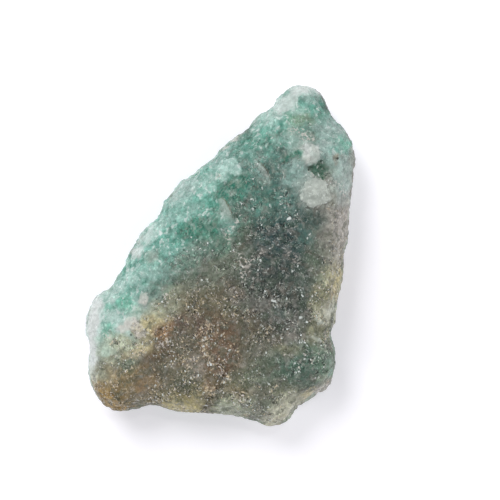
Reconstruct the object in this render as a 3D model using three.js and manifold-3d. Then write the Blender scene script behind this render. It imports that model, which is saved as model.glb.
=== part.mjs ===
// A raw jade stone: one broken chip of green jade rock, lying on the flat fracture face of its underside.
// Millimetres, +Z up. The origin is on the surface it lies on, under the middle of its outline's box.
import * as THREE from "three";
import { mergeVertices } from "three/addons/utils/BufferGeometryUtils.js";
import { ImprovedNoise } from "three/addons/math/ImprovedNoise.js";
import Module from "manifold-3d";

// Driving dimensions
const faceHeight = 9.5; // height of the broad upper face over the rest face, before the hollows and knobs
const arrisRadius = 0.45; // how softly one fracture plane turns into the next
const edgeRadius = 2.0; // how far in from the outline the edge is rounded over, on average
const edgeRadiusSwing = 0.9; // how much that changes on the way round
const rimShare = 0.54; // height of the widest line between the underside and the upper side, as a share
const rimShareSwing = 0.3; // how much that changes on the way round
const rimSwingSize = 8; // length of a swing of either
const restTrim = 0.3; // depth ground off the underside's lowest plane, which leaves the flat rest face
const ringCount = 24; // rings of each side's mesh from the centre to the edge; ring k has 6 k points
const ringCrowding = 1.35; // above 1, the rings lie closer together towards the edge
const stoneCentre = new THREE.Vector2(0.6, -3.0); // where the rings of the mesh shrink to
const spine = new THREE.Line3(new THREE.Vector3(-4.0, -9.0, 0), new THREE.Vector3(8.0, 12.6, 0));

// The outline from above, clockwise from the tip
const outline = [
  [8.5, 17.75], [9.5, 17.5], [10.3, 17.1], [10.75, 16.2], [11.4, 15.0], [12.1, 13.9], [12.9, 12.9],
  [13.6, 11.7], [14.1, 10.0], [13.9, 8.6], [14.0, 7.7], [13.7, 6.5], [13.5, 4.9], [13.2, 3.2],
  [13.25, 1.7], [13.0, 0.3], [12.8, -2.2], [12.35, -4.3], [12.0, -6.0], [11.85, -7.3], [11.4, -8.2],
  [11.8, -9.4], [12.05, -10.6], [11.85, -12.2], [11.4, -13.5], [10.5, -14.3], [9.5, -14.95],
  [8.4, -15.6], [7.7, -16.4], [7.1, -17.2], [6.5, -17.6], [5.5, -17.75], [4.3, -17.5], [3.0, -17.2],
  [1.2, -16.9], [-0.9, -16.65], [-3.2, -16.5], [-5.1, -16.35], [-6.2, -16.0], [-7.2, -15.7],
  [-8.3, -15.95], [-9.5, -16.3], [-10.5, -16.4], [-11.5, -16.1], [-12.5, -15.3], [-13.2, -14.2],
  [-13.7, -13.0], [-13.9, -11.4], [-13.8, -9.7], [-14.1, -7.9], [-14.0, -6.2], [-13.5, -5.0],
  [-12.8, -4.0], [-11.6, -3.3], [-10.8, -2.3], [-10.1, -1.4], [-9.6, 0.0], [-9.2, 0.85],
  [-8.4, 1.95], [-7.5, 3.1], [-6.7, 4.0], [-6.0, 5.4], [-5.4, 6.0], [-4.6, 6.8], [-4.0, 7.8],
  [-2.9, 8.4], [-2.1, 9.35], [-1.0, 10.0], [-0.2, 10.9], [0.8, 11.7], [1.6, 12.3], [2.75, 13.1],
  [3.5, 14.15], [4.3, 14.85], [5.3, 15.4], [6.0, 16.4], [6.8, 17.2], [7.7, 17.6],
];

// Fracture planes of the upper side, each through (x, y) at height z and falling by lean degrees
// towards the direction toward, in degrees from +X. The stone lies below all of them.
const upperPlanes = [
  { name: "broadFace", x: 4, y: -2, z: faceHeight, lean: 2.5, toward: -70 },
  { name: "mintBevel", x: -2.4, y: 2.0, z: faceHeight, lean: 24, toward: 138 },
  { name: "leftFace", x: -9.6, y: -8.5, z: 9.1, lean: 27, toward: 172 },
  { name: "footFace", x: -2.0, y: -14.3, z: 9.2, lean: 34, toward: -97 },
  { name: "heelFace", x: 8.4, y: -12.6, z: 9.0, lean: 30, toward: -46 },
  { name: "rightFace", x: 11.4, y: 1.0, z: 9.3, lean: 38, toward: 3 },
  { name: "tipFace", x: 9.6, y: 11.4, z: 9.0, lean: 24, toward: 50 },
];

// Fracture planes of the underside, rising by lean degrees. The stone lies above all of them.
const lowerPlanes = [
  { name: "restFace", x: 0, y: 0, z: 0, lean: 0, toward: 0 },
  { name: "underTip", x: 3.6, y: 3.6, z: 0, lean: 12, toward: 74 },
  { name: "underBevel", x: -4.6, y: 3.6, z: 0, lean: 33, toward: 146 },
  { name: "underLeft", x: -6.6, y: -7.0, z: 0, lean: 21, toward: 196 },
  { name: "underFoot", x: -1.0, y: -15.0, z: 0, lean: 52, toward: -82 },
  { name: "underHeel", x: 7.0, y: -10.6, z: 0, lean: 30, toward: -36 },
  { name: "underRight", x: 11.5, y: 1.6, z: 0, lean: 60, toward: -3 },
];

// Knobs and hollows of the upper side
const relief = [
  { name: "quartzKnob", x: 9.9, y: 6.4, radius: 2.0, height: 0.45 },
  { name: "upperQuartzKnob", x: 9.3, y: 10.2, radius: 1.6, height: 0.35 },
  { name: "greenPit", x: 10.3, y: 8.6, radius: 1.1, height: -0.6 },
  { name: "mintPlate", x: -1.4, y: 3.9, radius: 2.9, height: 0.35 },
  { name: "paleCrescent", x: 3.2, y: 8.2, radius: 1.8, height: 0.3 },
  { name: "rimQuartz", x: -8.6, y: -6.9, radius: 2.2, height: 0.35 },
  { name: "darkHollow", x: 5.2, y: 0.4, radius: 4.2, height: -0.6 },
  { name: "rustHollow", x: -1.2, y: -9.2, radius: 3.4, height: -0.4 },
  { name: "tealLobe", x: 9.0, y: -10.8, radius: 2.6, height: 0.4 },
  { name: "notchValley", x: 9.6, y: -7.7, radius: 1.7, height: -0.7 },
  { name: "footValley", x: -6.4, y: -14.2, radius: 1.9, height: -0.6 },
  { name: "tipHollow", x: 7.6, y: 14.2, radius: 1.7, height: -0.3 },
];

// The uneven grain of both sides: size of the swells and how far they reach, coarse and fine
const upperSwell = { size: 5.5, height: 0.35, fineSize: 2.0, fineHeight: 0.14 };
const lowerSwell = { size: 6.5, height: 0.5, fineSize: 2.4, fineHeight: 0.16 };

const outlineSteps = 1200;
const smoothReach = 35; // samples each way that the smoothed outline averages over
const detailOnset = 3; // the higher, the closer to the edge the outline's small bays and bumps stay
const weldDistance = 1e-4;
const noise = new ImprovedNoise();
const noiseOrigin = new THREE.Vector3(7.3, 2.9, 5.1); // which part of the endless noise this stone has

function noiseAt(x, y, z, size) {
  const place = new THREE.Vector3(x, y, z).divideScalar(size).add(noiseOrigin);
  return noise.noise(place.x, place.y, place.z);
}

function swellAt(x, y, { size, height, fineSize, fineHeight }) {
  return height * noiseAt(x, y, size, size) + fineHeight * noiseAt(x, y, fineSize, fineSize);
}

// Points at even steps along the outline
function walkOutline() {
  const points = outline.map(([x, y]) => new THREE.Vector3(x, y, 0));
  const curve = new THREE.CatmullRomCurve3(points, true, "centripetal");
  curve.arcLengthDivisions = outlineSteps;
  const walk = curve.getSpacedPoints(outlineSteps);
  return walk.slice(0, outlineSteps).map((p) => new THREE.Vector2(p.x, p.y));
}

function smoothWalk(walk) {
  return walk.map((_, i) => {
    const sum = new THREE.Vector2();
    for (let k = -smoothReach; k <= smoothReach; k++) {
      sum.add(walk[(i + k + outlineSteps) % outlineSteps]);
    }
    return sum.divideScalar(2 * smoothReach + 1);
  });
}

const edgeWalk = walkOutline();
const softWalk = smoothWalk(edgeWalk);

function readWalk(walk, turn) {
  const place = THREE.MathUtils.euclideanModulo(turn, 1) * outlineSteps;
  const low = Math.floor(place) % outlineSteps;
  return walk[low].clone().lerp(walk[(low + 1) % outlineSteps], place - Math.floor(place));
}

function nearestOnSpine({ x, y }) {
  const nearest = spine.closestPointToPoint(new THREE.Vector3(x, y, 0), true, new THREE.Vector3());
  return new THREE.Vector2(nearest.x, nearest.y);
}

function distanceToEdge(x, y) {
  let nearest = Infinity;
  for (const p of edgeWalk) nearest = Math.min(nearest, (p.x - x) ** 2 + (p.y - y) ** 2);
  return Math.sqrt(nearest);
}

// How far a plane has fallen, or risen, by the point (x, y)
function slopeAt({ x: x0, y: y0, lean, toward }, x, y) {
  const heading = THREE.MathUtils.degToRad(toward);
  const along = (x - x0) * Math.cos(heading) + (y - y0) * Math.sin(heading);
  return along * Math.tan(THREE.MathUtils.degToRad(lean));
}

function softMinimum(values) {
  return -arrisRadius * Math.log(values.reduce((sum, v) => sum + Math.exp(-v / arrisRadius), 0));
}

function reliefAt(x, y) {
  return relief.reduce((sum, spot) => {
    const away = Math.hypot(x - spot.x, y - spot.y) / spot.radius;
    return sum + spot.height * Math.exp(-away * away);
  }, 0);
}

function upperHeight(x, y) {
  const planes = softMinimum(upperPlanes.map((plane) => plane.z - slopeAt(plane, x, y)));
  return planes + reliefAt(x, y) + swellAt(x, y, upperSwell);
}

function lowerHeight(x, y) {
  const planes = -softMinimum(lowerPlanes.map((plane) => -plane.z - slopeAt(plane, x, y)));
  return planes + swellAt(x, y, lowerSwell);
}

// A point of the surface: turn is its place round the outline, 0 to 1, and reach its share of the way
// from the centre to the outline. side is 1 for the upper side and -1 for the underside.
function surfacePoint(turn, reach, side) {
  const soft = readWalk(softWalk, turn);
  const rim = readWalk(edgeWalk, turn).lerp(soft, 1 - Math.pow(reach, detailOnset));
  const { x, y } = stoneCentre.clone().lerp(nearestOnSpine(soft), reach).lerp(rim, reach);
  const radius = edgeRadius + edgeRadiusSwing * noiseAt(rim.x, rim.y, 0, rimSwingSize);
  const inward = reach === 1 ? 0 : Math.min(1, distanceToEdge(x, y) / radius);
  const fullness = Math.sqrt(1 - (1 - inward) ** 2);
  const top = upperHeight(x, y);
  const bottom = lowerHeight(x, y);
  const share = rimShare + rimShareSwing * noiseAt(rim.x, rim.y, rimSwingSize, rimSwingSize);
  const middle = THREE.MathUtils.lerp(bottom, top, share);
  const surface = side > 0 ? top : bottom;
  return new THREE.Vector3(x, y, middle + (surface - middle) * fullness);
}

function ringPoints(ring, side) {
  const reach = 1 - Math.pow(1 - ring / ringCount, ringCrowding);
  const count = Math.max(1, 6 * ring);
  return Array.from({ length: count }, (_, k) => surfacePoint(k / count, reach, side));
}

// The triangles between two neighbouring rings of one side, as pairs of ring number and place in it
function bandTriangles(ring) {
  const triangles = [];
  const inner = (k) => [ring, ring === 0 ? 0 : k % (6 * ring)];
  const outer = (k) => [ring + 1, k % (6 * (ring + 1))];
  for (let sector = 0; sector < 6; sector++) {
    const from = sector * ring;
    const out = sector * (ring + 1);
    for (let k = 0; k <= ring; k++) {
      triangles.push([inner(from + k), outer(out + k), outer(out + k + 1)]);
      if (k < ring) triangles.push([inner(from + k), outer(out + k + 1), inner(from + k + 1)]);
    }
  }
  return triangles;
}

// Two discs of rings that share their outermost ring
function chipGeometry() {
  const positions = [];
  for (const side of [1, -1]) {
    const rings = Array.from({ length: ringCount + 1 }, (_, ring) => ringPoints(ring, side));
    for (let ring = 0; ring < ringCount; ring++) {
      for (const corners of bandTriangles(ring)) {
        const ordered = side > 0 ? corners.reverse() : corners;
        for (const [r, k] of ordered) positions.push(...rings[r][k].toArray());
      }
    }
  }
  const geometry = new THREE.BufferGeometry();
  geometry.setAttribute("position", new THREE.Float32BufferAttribute(positions, 3));
  return geometry;
}

const wasm = await Module();
wasm.setup();

function solidFrom(geometry) {
  const bare = geometry.clone();
  bare.deleteAttribute("normal");
  bare.deleteAttribute("uv");
  const merged = mergeVertices(bare, weldDistance);
  return new wasm.Manifold(
    new wasm.Mesh({
      numProp: 3,
      vertProperties: new Float32Array(merged.getAttribute("position").array),
      triVerts: new Uint32Array(merged.index.array),
    }),
  );
}

function geometryFrom(solid) {
  const mesh = solid.getMesh();
  const geometry = new THREE.BufferGeometry();
  geometry.setAttribute("position", new THREE.BufferAttribute(mesh.vertProperties, 3));
  geometry.setIndex(new THREE.BufferAttribute(mesh.triVerts, 1));
  return geometry;
}

// Everything below the rest face
function trimBlock() {
  const size = 80; // wider than the stone
  const block = new THREE.BoxGeometry(size, size, size);
  block.translate(0, 0, restTrim - size / 2);
  return solidFrom(block);
}

function buildStone() {
  const geometry = geometryFrom(solidFrom(chipGeometry()).subtract(trimBlock()));
  geometry.computeBoundingBox();
  const box = geometry.boundingBox;
  geometry.translate(-(box.min.x + box.max.x) / 2, -(box.min.y + box.max.y) / 2, -box.min.z);
  geometry.computeVertexNormals();
  const jade = new THREE.MeshStandardMaterial({ color: 0x6f8f7c, roughness: 0.55, metalness: 0 });
  const stone = new THREE.Mesh(geometry, jade);
  stone.name = "stone";
  return stone;
}

const group = new THREE.Group();
group.add(buildStone());
export default group;
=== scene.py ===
# Raw jade stone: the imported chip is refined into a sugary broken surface, coloured, and lit softly.
import math

import bpy
import numpy as np
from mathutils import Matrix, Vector, noise
from mathutils.bvhtree import BVHTree


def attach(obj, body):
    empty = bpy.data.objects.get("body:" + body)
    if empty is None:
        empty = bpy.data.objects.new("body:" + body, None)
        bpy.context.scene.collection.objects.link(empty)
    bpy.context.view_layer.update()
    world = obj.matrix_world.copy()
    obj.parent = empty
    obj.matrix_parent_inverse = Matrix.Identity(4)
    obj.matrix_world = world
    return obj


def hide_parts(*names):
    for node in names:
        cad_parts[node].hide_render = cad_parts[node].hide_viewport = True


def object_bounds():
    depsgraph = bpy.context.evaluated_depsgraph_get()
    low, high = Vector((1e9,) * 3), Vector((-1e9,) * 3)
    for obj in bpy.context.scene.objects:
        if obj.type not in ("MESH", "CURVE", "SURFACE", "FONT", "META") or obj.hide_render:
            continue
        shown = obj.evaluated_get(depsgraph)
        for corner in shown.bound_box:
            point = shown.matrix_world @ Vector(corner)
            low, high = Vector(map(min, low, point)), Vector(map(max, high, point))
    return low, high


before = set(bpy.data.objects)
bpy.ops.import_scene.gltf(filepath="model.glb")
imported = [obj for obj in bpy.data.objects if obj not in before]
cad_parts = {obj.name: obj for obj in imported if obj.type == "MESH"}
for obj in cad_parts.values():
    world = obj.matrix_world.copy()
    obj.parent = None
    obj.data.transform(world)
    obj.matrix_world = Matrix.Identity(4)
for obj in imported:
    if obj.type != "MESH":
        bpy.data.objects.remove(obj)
cadLow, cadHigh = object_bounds()  # the CAD box, before anything is made
mm = 0.001  # the frame is in metres, and the stone's own sizes below are in millimetres
print("frame loaded")

camera = {
    "aim": (3.07, 0.47),  # the view's middle on the stone
    "fieldWidth": 51.9,  # how much is seen across, at the height of the stone's edge
    "edgeHeight": 4.8,
    "lens": 120.0,
    "sensor": 36.0,
    "nearest": 5.0,
}


def makeCamera():
    data = bpy.data.cameras.new("stoneCamera")
    data.lens = camera["lens"]
    data.sensor_width = camera["sensor"]
    data.clip_start = camera["nearest"] * mm
    height = camera["edgeHeight"] + camera["fieldWidth"] * camera["lens"] / camera["sensor"]
    eye = bpy.data.objects.new("stoneCamera", data)
    eye.location = Vector((*camera["aim"], height)) * mm
    bpy.context.scene.collection.objects.link(eye)
    bpy.context.scene.camera = eye


studio = {
    "floorSize": 0.9,
    "floorColour": (0.86, 0.85, 0.89),
    "floorGlow": 0.30,
    "floorRoughness": 0.9,
    "worldColour": (0.97, 0.965, 1.0),
    "worldStrength": 0.25,
    "lamps": [
        {"name": "keySoftbox", "place": (-0.14, 0.20, 0.36), "size": 0.18, "watts": 0.74},
        {"name": "sparkleLamp", "place": (0.06, 0.10, 0.42), "size": 0.03, "watts": 0.10},
    ],
    # low softboxes all round, which light the stone's sides
    "ring": {"count": 4, "radius": 0.34, "height": 0.20, "size": 0.22, "watts": 0.38, "turn": 20.0},
}


def makeLamp(spec):
    data = bpy.data.lights.new(spec["name"], "AREA")
    data.shape = "DISK"
    data.size = spec["size"]
    data.energy = spec["watts"]
    lamp = bpy.data.objects.new(spec["name"], data)
    lamp.location = spec["place"]
    lamp.rotation_euler = (-Vector(spec["place"])).to_track_quat("-Z", "Y").to_euler()
    bpy.context.scene.collection.objects.link(lamp)


def makeFloor():
    half = studio["floorSize"] / 2
    corners = [(-half, -half, 0), (half, -half, 0), (half, half, 0), (-half, half, 0)]
    mesh = bpy.data.meshes.new("floor")
    mesh.from_pydata(corners, [], [(0, 1, 2, 3)])
    floor = bpy.data.objects.new("floor", mesh)
    bpy.context.scene.collection.objects.link(floor)
    paper = bpy.data.materials.new("paleFloor")
    paper.use_nodes = True
    shader = paper.node_tree.nodes["Principled BSDF"]
    shader.inputs["Base Color"].default_value = (*studio["floorColour"], 1)
    shader.inputs["Roughness"].default_value = studio["floorRoughness"]
    shader.inputs["Emission Color"].default_value = (*studio["floorColour"], 1)
    shader.inputs["Emission Strength"].default_value = studio["floorGlow"]
    mesh.materials.append(paper)


def makeWorld():
    world = bpy.data.worlds.new("studio")
    world.use_nodes = True
    background = world.node_tree.nodes["Background"]
    background.inputs["Color"].default_value = (*studio["worldColour"], 1)
    background.inputs["Strength"].default_value = studio["worldStrength"]
    bpy.context.scene.world = world
    bpy.context.scene.view_settings.view_transform = "Standard"


def makeRing():
    ring = studio["ring"]
    for k in range(ring["count"]):
        angle = math.radians(ring["turn"] + k * 360 / ring["count"])
        place = (ring["radius"] * math.cos(angle), ring["radius"] * math.sin(angle), ring["height"])
        makeLamp({**ring, "name": f"ringSoftbox{k + 1}", "place": place})


makeCamera()
for spec in studio["lamps"]:
    makeLamp(spec)
makeRing()
makeFloor()
makeWorld()
print("camera and studio ready")

chipShape = {
    "seed": 1,  # never 0, which would take the clock's time
    "pointGap": 0.16,  # between neighbouring points of the fine mesh
    "smoothing": (0.5, 10),  # share and passes of the smoothing that takes the CAD facets out
    "sink": 0.08,  # how far the whole surface is drawn in, so that the grains stay inside the CAD box
    "swells": [(1.9, 0.1), (0.8, 0.06)],  # sizes of the soft lumps, and how far they reach
    # flat flakes left by the break: size, height of a step, steps in one swell, squeeze of the layers, how
    # far a flake runs before it steps up, and the noise's roughness, gap and octaves
    "flakes": {"size": 4.6, "step": 0.08, "steps": 2.6, "layering": 2.2, "run": 0.72, "noise": (0.9, 2.0, 3)},
    # quartz grains: size, how unevenly they stand, how deep and how wide the joints between them are, and
    # the stride between the grains' own random heights
    "grains": {"size": 0.42, "uneven": 0.06, "joint": 0.05, "jointWidth": 0.25, "stride": 17.3},
    "grainPull": 0.55,  # how strongly the edge of a patch follows the grains
    "patchWander": (0.8, 0.28, 41.0),  # size, reach and seed of the wander in the edge of a patch
    "patchStep": (-0.08, 0.16),  # how the rise of a patch sets in across its edge
    "topFrom": 0.1,  # how far up a normal points on the top side
    "chordFade": 1.8,  # how much stone, from top to bottom, still gets the painted glow of a thin edge
    "chordStart": 0.01,  # how far inside the surface that is measured from
    "glowSide": (-0.8, 0.6),  # the way the thin edges with the strongest painted glow face
    "glowTurn": (-0.3, 0.6),  # how the painted glow sets in as an edge turns that way
    "glowShare": 0.12,  # how much painted glow the other thin edges get
    "restFrom": -0.7,  # how far down a normal points on the rest face
    "restSinkShare": 0.3,  # how rough the rest face is, next to the other faces
    # quartz patches on the underside: noise size, how much of it they leave free, rise, how steeply their
    # edges set in, and the most that their finish shows
    "underPatches": {"size": 3.1, "free": 0.26, "rise": 0.1, "slope": 3.0, "faint": -0.02},
    # Patches with their own edge, on the top side. A patch has a closed outline, and a streak has a path
    # and a half width. The relief and the finish both follow them.
    "patches": {
        "quartz": {
            "roundQuartz": {"rise": 0.12, "outline": [
                (8.35, 6.8), (9.0, 7.6), (9.9, 7.85), (10.7, 7.4), (11.2, 6.6), (11.2, 5.5),
                (10.5, 5.0), (9.5, 4.7), (8.6, 5.1), (8.2, 5.9)]},
            "upperQuartz": {"rise": 0.12, "outline": [
                (8.8, 10.4), (9.0, 10.9), (9.6, 11.1), (10.2, 10.8), (10.5, 10.2), (10.3, 9.7),
                (9.8, 9.3), (9.1, 9.3), (8.6, 9.7)]},
            "lowShelf": {"rise": 0.12, "outline": [
                (9.7, -6.5), (10.2, -6.7), (10.9, -6.9), (10.7, -7.2), (10.0, -7.15)]},
            "lowBar": {"rise": 0.1, "outline": [
                (9.4, -8.4), (9.9, -8.45), (10.5, -8.7), (10.3, -9.0), (9.7, -8.85)]},
        },
        "mintFlake": {
            "mintQuartz": {"rise": 0.16, "outline": [
                (-0.4, 8.7), (0.2, 9.7), (0.9, 9.9), (1.7, 9.9), (2.0, 9.3), (2.15, 8.6), (1.8, 8.0),
                (1.1, 8.2), (0.5, 8.0), (-0.1, 8.0)]},
        },
        "pinkPatch": {
            "leftPink": {"rise": 0.1, "outline": [
                (-10.6, -7.6), (-10.1, -7.1), (-9.5, -6.4), (-8.6, -6.2), (-8.4, -6.8), (-7.9, -7.2),
                (-7.4, -7.9), (-7.8, -8.6), (-8.4, -8.5), (-8.9, -8.0), (-9.6, -8.0), (-10.2, -8.1)]},
            "leftPinkUpper": {"rise": 0.1, "outline": [
                (-8.4, -4.6), (-8.0, -3.9), (-7.3, -4.0), (-7.2, -4.5), (-7.6, -5.0), (-8.2, -5.1)]},
            "edgePinkUpper": {"rise": 0.06, "outline": [
                (1.0, 11.8), (1.5, 12.3), (2.0, 12.0), (1.8, 11.6), (1.3, 11.5)]},
            "edgePinkLower": {"rise": 0.06, "outline": [
                (-0.1, 11.0), (0.5, 11.4), (0.8, 11.1), (0.3, 10.8)]},
        },
        "grit": {
            "midPinkSpot": {"rise": 0.06, "outline": [
                (-5.7, -4.3), (-5.4, -4.1), (-5.1, -4.4), (-5.4, -4.7)]},
            "mintPinkSpot": {"rise": 0.06, "outline": [
                (-0.5, 8.1), (-0.2, 8.3), (0.15, 8.2), (0.1, 7.95), (-0.3, 7.9)]},
            "upperPinkChain": {"rise": 0.06, "width": 0.36, "path": [
                (7.7, 12.6), (8.3, 12.6), (8.7, 12.2), (9.3, 11.9)]},
            "quartzTopGrit": {"rise": 0.06, "width": 0.12, "path": [
                (9.3, 8.4), (9.5, 8.2), (9.9, 8.0), (10.5, 8.0), (10.9, 7.8), (11.15, 7.4)]},
            "rimGrit": {"rise": 0.05, "width": 0.3, "path": [
                (12.2, 7.2), (12.5, 6.7), (12.8, 6.3)]},
            "paleBar": {"rise": 0.08, "width": 0.22, "path": [
                (4.4, 0.3), (3.9, -0.1), (3.3, -0.6), (2.9, -0.8)]},
            "barGrit": {"rise": 0.04, "width": 0.34, "path": [
                (2.0, -0.2), (2.4, -0.9), (2.6, -1.6), (2.2, -2.4)]},
            "rightStreak": {"rise": 0.05, "width": 0.18, "path": [
                (6.8, 0.6), (7.2, 0.1), (7.6, -0.3)]},
            "lipChain": {"rise": 0.03, "width": 0.18, "path": [
                (1.9, 3.4), (1.5, 3.1), (1.3, 2.7), (0.9, 2.5), (0.7, 2.0), (0.9, 1.2)]},
            "whiteCluster": {"rise": 0.05, "width": 0.3, "path": [
                (-6.1, -9.0), (-5.6, -9.2), (-5.2, -8.9)]},
            "leftCloud": {"rise": 0.04, "width": 0.24, "path": [(-11.8, -8.3), (-11.5, -8.3)]},
        },
        "warmGrit": {
            "creamChain": {"rise": 0.03, "width": 0.24, "path": [
                (-1.3, -7.2), (-1.45, -8.2), (-1.6, -9.4), (-1.1, -10.4), (-0.9, -11.2)]},
            "creamChainLeft": {"rise": 0.03, "width": 0.2, "path": [
                (-7.7, -9.8), (-8.3, -9.7), (-8.6, -10.4)]},
            "creamCluster": {"rise": 0.04, "width": 0.3, "path": [(-1.4, -13.7), (-0.9, -13.9)]},
        },
        "pit": {
            "greenPit": {"rise": -0.3, "outline": [
                (9.3, 8.9), (9.8, 9.3), (10.3, 9.5), (10.8, 9.2), (11.0, 8.4), (10.7, 7.7), (10.0, 8.0),
                (9.4, 8.4)]},
        },
    },
    "lipEdge": (-0.1, 0.1),  # how a lip's high side sets in across it
    "lipLine": (0.05, 0.12),  # how far below the lip the rusty line runs, and how wide it is
    # Flake ends along a curved lip: the high side fades away from it, and a rusty line runs at its foot.
    "lips": {
        "mintLip": {"rise": -0.32, "reach": 1.3, "path": [
            (-0.5, 5.6), (0.1, 5.8), (0.6, 5.4), (0.9, 4.8), (1.2, 4.0), (1.7, 3.4)]},
        "paleLip": {"rise": -0.22, "reach": 0.9, "path": [
            (3.5, 9.5), (4.2, 9.2), (4.8, 8.4), (5.0, 7.8), (5.4, 7.1)]},
    },
    # painted glints: single grains painted near white, as flashes of reflected light; middle and radius
    "glints": [
        ((7.55, 3.15), 0.15), ((4.5, 2.6), 0.15), ((-6.2, 2.35), 0.14), ((-2.45, 1.4), 0.1),
        ((-2.7, -0.35), 0.1), ((5.5, -4.6), 0.14), ((4.1, -6.5), 0.12), ((8.2, -6.4), 0.11),
        ((10.05, 14.85), 0.12), ((-12.6, -12.9), 0.12), ((-3.7, -8.2), 0.11), ((2.2, 3.95), 0.14),
        ((7.0, 3.6), 0.14), ((7.1, 5.4), 0.12), ((5.1, 4.8), 0.14), ((8.85, 1.65), 0.1),
        ((9.2, 2.1), 0.08), ((12.9, 9.95), 0.09), ((-1.3, -8.4), 0.11), ((6.1, 5.8), 0.11),
        ((-10.2, -3.4), 0.11),
    ],
    # small dark holes: middle and radius
    "holes": [
        ((-3.1, -5.7), 0.14), ((-9.1, -8.15), 0.13), ((9.15, 8.6), 0.15), ((11.7, 3.3), 0.1),
        ((-12.15, -6.2), 0.09), ((9.4, 8.95), 0.1), ((12.1, 9.8), 0.14),
    ],
    "holeDepth": 0.06,
}
farOut = -3.0  # the distance given to what lies well outside every patch


def fineMesh():
    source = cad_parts["stone"].data
    mesh = bpy.data.meshes.new("jadeStone")
    points = np.array([v.co for v in source.vertices]) / mm
    mesh.from_pydata(points.tolist(), [], [tuple(p.vertices) for p in source.polygons])
    stone = bpy.data.objects.new("jadeStone", mesh)
    bpy.context.scene.collection.objects.link(stone)
    weld = stone.modifiers.new("weld", "WELD")
    weld.merge_threshold = mm
    remesh = stone.modifiers.new("remesh", "REMESH")
    remesh.mode = "VOXEL"
    remesh.voxel_size = chipShape["pointGap"]
    smooth = stone.modifiers.new("smooth", "SMOOTH")
    smooth.factor, smooth.iterations = chipShape["smoothing"]
    fine = bpy.data.meshes.new_from_object(stone.evaluated_get(bpy.context.evaluated_depsgraph_get()))
    stone.modifiers.clear()
    stone.data = fine
    fine.name = "jadeStone"
    return stone


def readPoints(mesh, what):
    values = np.empty(len(mesh.vertices) * 3, np.float32)
    if what == "co":
        mesh.vertices.foreach_get("co", values)
    else:
        mesh.vertex_normals.foreach_get("vector", values)
    return values.reshape(-1, 3).astype(float)


def smoothStep(low, high, value):
    share = np.clip((value - low) / (high - low), 0, 1)
    return share * share * (3 - 2 * share)


def swells(points, size, reach):
    return reach * np.array([noise.noise(Vector(p)) for p in points / size])


def flakeSteps(points, flakes):
    squeezed = points * (1, 1, flakes["layering"]) / flakes["size"]
    height = flakes["steps"] * np.array([noise.fractal(Vector(p), *flakes["noise"]) for p in squeezed])
    level = np.floor(height)
    return flakes["step"] * (level + smoothStep(flakes["run"], 1.0, height - level))


def quartzGrains(points, grains):
    relief = np.empty(len(points))
    middles = np.empty_like(points)
    for i, p in enumerate(points / grains["size"]):
        distances, centres = noise.voronoi(Vector(p))
        stand = noise.cell(centres[0] * grains["stride"]) - 0.5
        joint = min(1.0, (distances[1] - distances[0]) / grains["jointWidth"])
        relief[i] = grains["uneven"] * stand - grains["joint"] * (1 - joint)
        middles[i] = centres[0] * grains["size"]
    return relief, middles


def roundedOutline(corners, steps=5):
    # a closed Catmull-Rom curve through the given corners
    corners = np.array(corners)
    before, after, beyond = (np.roll(corners, shift, 0) for shift in (1, -1, -2))
    curve = []
    for share in np.arange(steps) / steps:
        curve.append(0.5 * (2 * corners + (after - before) * share
                            + (2 * before - 5 * corners + 4 * after - beyond) * share ** 2
                            + (3 * corners - before - 3 * after + beyond) * share ** 3))
    curve = np.stack(curve, 1).reshape(-1, 2)
    return np.vstack([curve, curve[:1]])


def distanceToPath(place, path):
    # the distance, the side (positive on the left) and the share of the way along
    path = np.array(path)
    best = np.full(len(place), np.inf)
    side = np.zeros(len(place))
    along = np.zeros(len(place))
    for k, (start, step) in enumerate(zip(path[:-1], np.diff(path, axis=0))):
        offset = place - start
        share = np.clip(offset @ step / (step @ step), 0, 1)
        distance = np.hypot(*(offset - share[:, None] * step).T)
        nearer = distance < best
        best = np.where(nearer, distance, best)
        side = np.where(nearer, np.sign(step[0] * offset[:, 1] - step[1] * offset[:, 0]), side)
        along = np.where(nearer, (k + share) / (len(path) - 1), along)
    return best, side, along


def insideOutline(place, path):
    inside = np.zeros(len(place), bool)
    for (x0, y0), (x1, y1) in zip(path[:-1], path[1:]):
        if y0 != y1:
            crosses = (y0 > place[:, 1]) != (y1 > place[:, 1])
            inside ^= crosses & (place[:, 0] < x0 + (place[:, 1] - y0) * (x1 - x0) / (y1 - y0))
    return inside


def patchDistance(place, patch):
    if "path" in patch:
        return patch["width"] - distanceToPath(place, patch["path"])[0]
    path = roundedOutline(patch["outline"])
    distance = distanceToPath(place, path)[0]
    return np.where(insideOutline(place, path), distance, -distance)


def spotDistance(place, spots):
    nearest = np.full(len(place), farOut)
    for middle, radius in spots:
        nearest = np.maximum(nearest, radius - np.hypot(*(place - middle).T))
    return nearest


def lipShape(place, lip):
    distance, side, along = distanceToPath(place, lip["path"])
    signed = distance * side * math.copysign(1, lip["rise"])
    fade = np.sqrt(np.clip(np.sin(math.pi * along), 0, 1))
    high = fade * smoothStep(*chipShape["lipEdge"], signed) * np.exp(-np.clip(signed, 0, None) / lip["reach"])
    below, width = chipShape["lipLine"]
    line = fade * np.exp(-((signed + below) / width) ** 2)
    return high, line


def verticalChord(mesh, points, normals):
    tree = BVHTree.FromPolygons(points.tolist(), [tuple(p.vertices) for p in mesh.polygons])
    chord = np.empty(len(points))
    for i, (point, normal) in enumerate(zip(points, normals)):
        way = Vector((0, 0, -1 if normal[2] > 0 else 1))
        hit = tree.ray_cast(Vector(point) + way * chipShape["chordStart"], way)
        chord[i] = hit[3] or 0  # the length, or nothing where the ray gets out
    return chord


def storeMask(mesh, name, values):
    mask = mesh.attributes.new(name, "FLOAT", "POINT")
    mask.data.foreach_set("value", values.astype(np.float32))


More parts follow.
